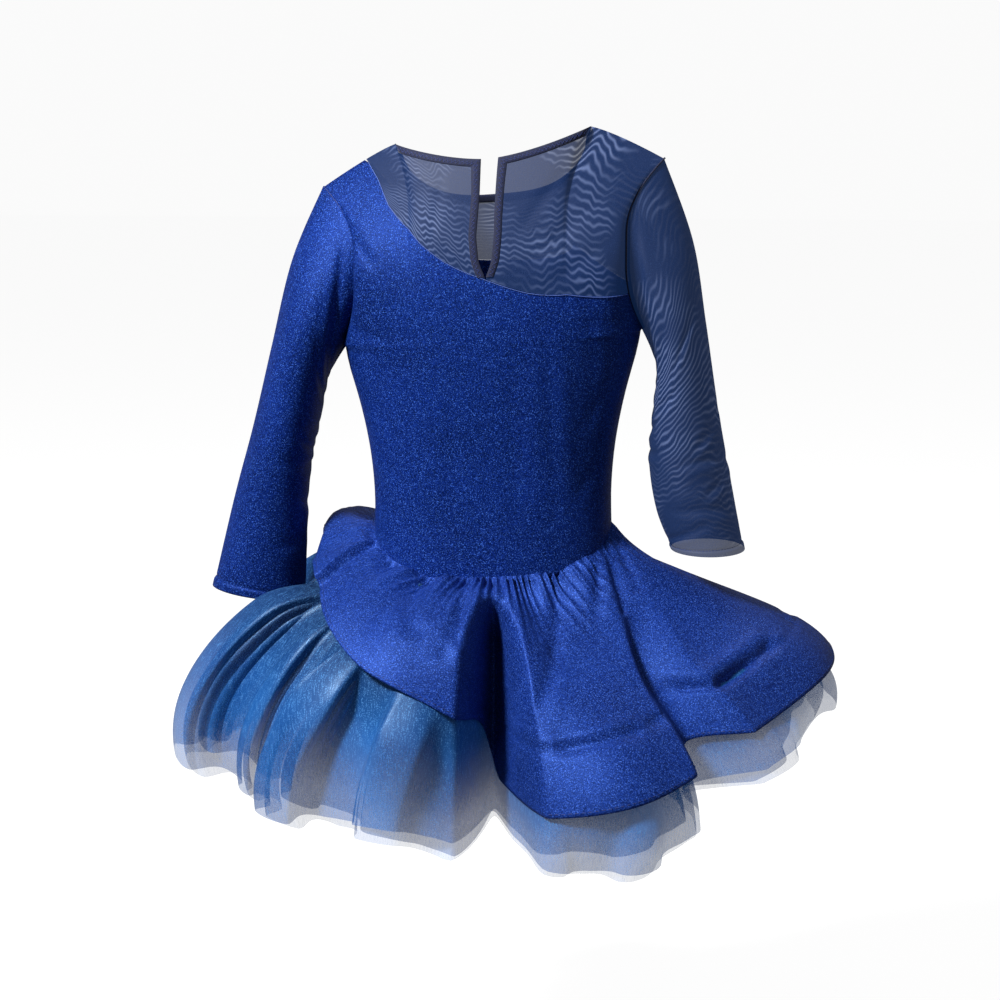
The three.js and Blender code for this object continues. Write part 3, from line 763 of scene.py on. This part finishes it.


# ---------------------------------------------------------------------------
# the dress
# ---------------------------------------------------------------------------
# the last colour of each satin is the painted glint colour of its glitter flecks
SATIN = satin_finish("royal_satin", 0.46, 0.5, (0.0006, 0.005, 0.05, 1), (0.004, 0.022, 0.19, 1),
                     (0.07, 0.2, 0.8, 1))
SKIRT_SATIN = satin_finish("skirt_satin", 0.43, 0.8, (0.001, 0.006, 0.06, 1), (0.009, 0.035, 0.24, 1),
                           (0.09, 0.22, 0.85, 1))
MESH = mesh_finish()
ORGANZA = organza_finish("blue_organza", 0.38, (0.004, 0.05, 0.22, 1), (0.014, 0.12, 0.4, 1))
PALE_ORGANZA = organza_finish("pale_organza", 0.2, (0.02, 0.08, 0.26, 1), (0.12, 0.2, 0.42, 1))
BINDING = binding_finish()
THREAD = thread_finish("navy_thread", (0.02, 0.04, 0.2, 1))
EDGE_THREAD = thread_finish("light_blue_thread", (0.08, 0.15, 0.5, 1))


def across(u):
    """Even steps round a panel rather than straight across it."""
    return math.sin(math.pi * (u - 0.5))


TUCKED_UNDER = 0.03     # the bodice's seam allowance, as a share of its height to the armpit


def satin_panel(side, cut, name, node):
    def place(u, v):
        s = across(u) * -side
        low = 0.42
        if v < low:
            return panel_point(side, s, lerp(-TUCKED_UNDER, 1, v / low))
        top = 1.0 if s <= cut[0][0] else cut_height(cut, s)
        return panel_point(side, s, 1 + top * (v - low) / (1 - low))

    cloth = sew(name, 150, 120, place, 0.42, 0.42)
    thicken(cloth, 1.0)
    hand_over(cloth, SATIN, "satin", node)
    return cloth


def yoke_panel(side, cut, name, node, first, last, edge=None):
    """first and last are the columns' limits in shares of the half width; edge bends one of them."""
    def place(u, v):
        k = u if side < 0 else 1 - u
        start = lerp(-0.72, -0.747, v) if first is None else edge(v)
        end = edge(v) if last is None else last
        low_start = -0.72 if first is None else 0
        low_end = 0 if last is None else last
        low = cut_height(cut, lerp(low_start, low_end, k)) + 0.004
        return panel_point(side, lerp(start, end, k), 1 + lerp(low, 1, v))

    cloth = sew(name, 80, 60, place, 0.2, 0.16)
    hand_over(cloth, MESH, "mesh", node)
    return cloth


def key_edge(column):
    return lambda k: read_soft(KEYHOLE, k, column, 0.04) * CENTRE_SHARE


back_bodice = satin_panel(-1, CUT_BACK, "satin_back", "back_bodice")
front_bodice = satin_panel(1, CUT_FRONT, "satin_front", "front_bodice")
back_left = yoke_panel(-1, CUT_BACK, "mesh_back_left", "back_yoke_left", None, None, key_edge(1))
back_right = yoke_panel(-1, CUT_BACK, "mesh_back_right", "back_yoke_right", 0, 1, key_edge(2))
front_yoke = yoke_panel(1, CUT_FRONT, "mesh_front", "front_yoke", None, 1)


def sleeve(cut, wrinkles, name, node, material, slot, direction):
    def place(u, v):
        return sleeve_point(cut, direction * 2 * math.pi * u, 1 - v, wrinkles)

    cloth = sew(name, 120, 180, place, 0.27, 0.4, tube=True)
    if slot == "satin":
        thicken(cloth, 1.0)
    hand_over(cloth, material, slot, node)
    return cloth


satin_sleeve = sleeve(SATIN_SLEEVE, SATIN_WRINKLES, "sleeve_satin", "satin_sleeve", SATIN, "satin", -1)
mesh_sleeve = sleeve(MESH_SLEEVE, MESH_WRINKLES, "sleeve_mesh", "mesh_sleeve", MESH, "mesh", 1)


def columns_of(side, count):
    return [Column(side, seam_share(i / count) * -side) for i in range(count + 1)]


SEAM_LIP = 0.012        # the skirt's top edge laps over the bodice by this share of its length


def skirt_panel(side, name, node, count):
    columns = columns_of(side, int(count * DETAIL))

    def place(u, v):
        column = columns[round(u * (len(columns) - 1))]
        t = lerp(-SEAM_LIP, hem_share(column.angle), (1 - v) ** 1.15)
        return column.point(t, satin_folds)

    cloth = sew(name, count, 84, place, 0.7, 0.25)
    thicken(cloth, 1.0)
    hand_over(cloth, SKIRT_SATIN, "satin", node)
    return cloth


back_skirt = skirt_panel(-1, "satin_skirt_back", "back_skirt", 460)
front_skirt = skirt_panel(1, "satin_skirt_front", "front_skirt", 400)


RING_COLUMNS, RING_ROWS = 760, 64


def petticoat(name, node, layer, top, hem, material):
    """One gathered ring; top and hem are shares of the skirt's length."""
    count = int(RING_COLUMNS * DETAIL)
    half = count // 2
    columns = columns_of(-1, half) + columns_of(1, count - half)[1:]

    def place(u, v):
        column = columns[round(u * (len(columns) - 1))]
        a = math.radians(column.angle)
        uneven = 0.026 * math.sin(a * 4 + layer.phase * 2) + 0.012 * math.sin(a * 9 + layer.phase)
        t = lerp(top, min(hem * (1 + uneven), 1.03), 1 - v)
        return column.point(t, layer.folds, layer.sideways)

    cloth = sew(name, RING_COLUMNS, RING_ROWS, place, 1.9, 0.3, tube=True)
    hand_over(cloth, material, "organza", node)
    return cloth


OUTER_FOLDS = Fluted(6, 3, 1, 0.0, 0.9)
MIDDLE_FOLDS = Fluted(10.5, 7, 0.9, 0.5, 1.1)
INNER_FOLDS = Fluted(16, 13, 0.8, 1.0, 1.2)
outer = petticoat("organza_outer", "petticoat_outer", OUTER_FOLDS, 0.04, 0.965, ORGANZA)
middle = petticoat("organza_middle", "petticoat_middle", MIDDLE_FOLDS, 0.045, 1.01, PALE_ORGANZA)
inner = petticoat("organza_inner", "petticoat_inner", INNER_FOLDS, 0.05, 0.97, ORGANZA)


# ---- bindings ----
def binding(name, node, side, path, inward):
    """A rounded band over an edge: path(v) is the edge and inward(v) the band's other side."""
    def place(u, v):
        a = 2 * math.pi * u
        s0, v0 = path(v)
        s1, v1 = inward(v)
        edge = bodice(side, s0, v0)
        far = bodice(side, s1, v1)
        mid = [(e + f) / 2 for e, f in zip(edge, far)]
        half = [(e - f) / 2 for e, f in zip(edge, far)]
        out = (0.0, side * 0.95, 0.3)
        c = math.copysign(abs(math.cos(a)) ** 0.8, math.cos(a))
        return tuple(m + h * c * 1.12 + 1.3 * math.sin(a) * o for m, h, o in zip(mid, half, out))

    band = sew(name, 20, 150, place, 0.016, 0.24, tube=True)
    only(band)
    bpy.ops.object.mode_set(mode="EDIT")
    bpy.ops.mesh.select_all(action="SELECT")
    bpy.ops.mesh.normals_make_consistent(inside=False)
    bpy.ops.object.mode_set(mode="OBJECT")
    hand_over(band, BINDING, "binding", node)
    return band


NECK_SHARE = NECK_X / SHOULDER_X
CORNER = 0.46          # share of the binding's length along the neck edge
KEY_BOTTOM = CUT_BACK[6][1]


def back_edge(sign, inset):
    edge = key_edge(1 if sign < 0 else 2)
    drop = inset / 180
    pull = sign * inset * CENTRE_SHARE

    def at(q):
        if q < CORNER:
            corner = edge(1) + pull
            return lerp(sign * NECK_SHARE, corner, q / CORNER), 2 - drop
        k = lerp(1 - drop / (1 - KEY_BOTTOM), 0.015, (q - CORNER) / (1 - CORNER))
        return edge(k) + pull, 1 + lerp(KEY_BOTTOM, 1, k)

    return at


LEFT_EDGE, LEFT_FAR = back_edge(-1, 0), back_edge(-1, BINDING_WIDTH)
RIGHT_EDGE, RIGHT_FAR = back_edge(1, 0), back_edge(1, BINDING_WIDTH)
binding("binding_left", "neck_binding_left", -1, LEFT_EDGE, LEFT_FAR)
binding("binding_right", "neck_binding_right", -1, RIGHT_EDGE, RIGHT_FAR)


def front_edge(inset):
    return lambda q: (lerp(-NECK_SHARE, NECK_SHARE, q), 2 - inset / 150)


binding("band_front", "neck_band_front", 1, front_edge(0), front_edge(BINDING_WIDTH + 1))


# ---- stitching ----
def zigzag(side, path, inward, count):
    runs = []
    last = None
    for i in range(count + 1):
        q = i / count
        s0, v0 = path(q)
        s1, v1 = inward(q)
        share = 0.3 if i % 2 else 0.78
        p = bodice(side, lerp(s0, s1, share), lerp(v0, v1, share))
        p = (p[0], p[1] + side * 1.45, p[2] + 0.3)
        if last:
            runs.append((last, p))
        last = p
    return runs


stitches("zigzag_left", zigzag(-1, LEFT_EDGE, LEFT_FAR, 90), THREAD, 0.22)
stitches("zigzag_right", zigzag(-1, RIGHT_EDGE, RIGHT_FAR, 90), THREAD, 0.22)


def satin_edge_thread(side, cut, name):
    """The turned edge of the satin, seen as a thin light line."""
    runs = []
    last = None
    for i in range(161):
        s = lerp(-0.745, 0.995, i / 160)
        p = panel_point(side, s, 1 + cut_height(cut, s))
        p = (p[0], p[1] + side * 0.5, p[2])
        if last:
            runs.append((last, p))
        last = p
    return stitches(name, runs, EDGE_THREAD, 0.38)


satin_edge_thread(-1, CUT_BACK, "satin_edge_back")
satin_edge_thread(1, CUT_FRONT, "satin_edge_front")


def hem_stitches(side, name, count):
    """A row of stitches along the wide hem's upper line and one near its edge."""
    runs = []
    for i in range(count):
        column = Column(side, seam_share((i + 0.2) / count) * -side)
        after = Column(side, seam_share((i + 0.75) / count) * -side)
        hem = hem_share(column.angle)
        wide = 97 < column.angle < 292
        for back in ((HEM_BAND, 0.012) if wide else (0.012,)):
            ends = []
            for c in (column, after):
                def folds(angle, t):
                    out, inward = satin_folds(angle, t)
                    return out + 0.35, inward
                ends.append(c.point(hem - back, folds))
            if math.dist(*ends) < 8:
                runs.append(tuple(ends))
    return stitches(name, runs, THREAD, 0.28)


hem_stitches(-1, "hem_stitches_back", 230)
hem_stitches(1, "hem_stitches_front", 200)


def cuff_stitches(cut, wrinkles, name, count=70):
    length = math.dist(sleeve_ring(cut, 0, 0), sleeve_ring(cut, 0, 1))
    k = 1 - CUFF_BAND / length
    runs = []
    for i in range(count):
        ends = []
        for part in (0.1, 0.7):
            a = 2 * math.pi * (i + part) / count
            p = sleeve_point(cut, a, k, wrinkles)
            c = sleeve_ring(cut, a, k)
            m = sleeve_ring(cut, a + math.pi, k)
            d = [x - y for x, y in zip(c, m)]
            size = math.sqrt(sum(x * x for x in d))
            ends.append(tuple(x + 0.5 * y / size for x, y in zip(p, d)))
        runs.append(tuple(ends))
    return stitches(name, runs, THREAD, 0.28)


def armhole_seam(cut, name, thick, material, count=120):
    """The overlocked seam where a sleeve joins the bodice."""
    runs = []
    for i in range(count):
        ends = []
        for k in (i, i + 1):
            x, y, z = armhole_point(cut, 2 * math.pi * k / count)
            ends.append((x + cut["side"] * 0.4, y + math.copysign(0.5, y), z + 0.4))
        runs.append(tuple(ends))
    return stitches(name, runs, material, thick)


armhole_seam(MESH_SLEEVE, "armhole_seam_mesh", 1.2, BINDING)
armhole_seam(SATIN_SLEEVE, "armhole_seam_satin", 0.4, THREAD)
cuff_stitches(SATIN_SLEEVE, SATIN_WRINKLES, "cuff_stitches_satin")
cuff_stitches(MESH_SLEEVE, MESH_WRINKLES, "cuff_stitches_mesh")

# ---------------------------------------------------------------------------
# studio
# ---------------------------------------------------------------------------
CAMERA_TURN, CAMERA_RISE, CAMERA_REACH = math.radians(5), math.radians(11), 2.2
TARGET = (0.007, 0.0, -0.36)
ROOM_LIGHT = 0.14


def look(piece, target):
    way = [t - p for t, p in zip(target, piece.location)]
    flat = math.hypot(way[0], way[1])
    piece.rotation_euler = (math.atan2(flat, -way[2]), 0, math.atan2(way[1], way[0]) - math.pi / 2)


def camera():
    data = bpy.data.cameras.new("camera")
    data.sensor_width = 36
    data.lens = 36 * CAMERA_REACH
    made = bpy.data.objects.new("camera", data)
    bpy.context.collection.objects.link(made)
    made.location = (
        TARGET[0] + CAMERA_REACH * math.sin(CAMERA_TURN) * math.cos(CAMERA_RISE),
        TARGET[1] - CAMERA_REACH * math.cos(CAMERA_TURN) * math.cos(CAMERA_RISE),
        TARGET[2] + CAMERA_REACH * math.sin(CAMERA_RISE),
    )
    look(made, TARGET)
    bpy.context.scene.camera = made


def softbox(name, place, size, power):
    data = bpy.data.lights.new(name, "AREA")
    data.size = size
    data.energy = power
    made = bpy.data.objects.new(name, data)
    bpy.context.collection.objects.link(made)
    made.location = place
    look(made, (0, 0, -0.38))


def studio():
    bpy.ops.object.select_all(action="DESELECT")
    bpy.ops.mesh.primitive_plane_add(size=30, location=(0, 0, -1.05))
    floor = bpy.context.object
    floor.name = "floor"
    paint = Finish("pale_floor", Roughness=0.9, Emission_Color=(1, 1, 1, 1), Emission_Strength=0.9)
    paint.feed("Base Color", (0.3, 0.3, 0.3, 1))
    floor.visible_diffuse = False
    floor.visible_glossy = False
    floor.data.materials.append(paint.material)
    world = bpy.data.worlds.new("studio")
    world.use_nodes = True
    backdrop = world.node_tree.nodes["Background"]
    backdrop.inputs[0].default_value = (1, 1, 1, 1)
    backdrop.inputs[1].default_value = ROOM_LIGHT
    shown = world.node_tree.nodes.new("ShaderNodeBackground")
    shown.inputs[1].default_value = 0.96
    seen = world.node_tree.nodes.new("ShaderNodeLightPath")
    either = world.node_tree.nodes.new("ShaderNodeMixShader")
    links = world.node_tree.links
    links.new(seen.outputs["Is Camera Ray"], either.inputs[0])
    links.new(backdrop.outputs[0], either.inputs[1])
    links.new(shown.outputs[0], either.inputs[2])
    links.new(either.outputs[0], world.node_tree.nodes["World Output"].inputs[0])
    shown.inputs[0].default_value = (1, 1, 1, 1)
    bpy.context.scene.world = world
    bpy.context.scene.view_settings.view_transform = "Standard"
    softbox("key", (-1.5, -1.55, 1.75), 0.5, 170)
    softbox("fill", (1.6, -2.0, 0.6), 1.4, 5)
    softbox("back", (0.5, 1.4, 2.5), 1.4, 16)


camera()
studio()
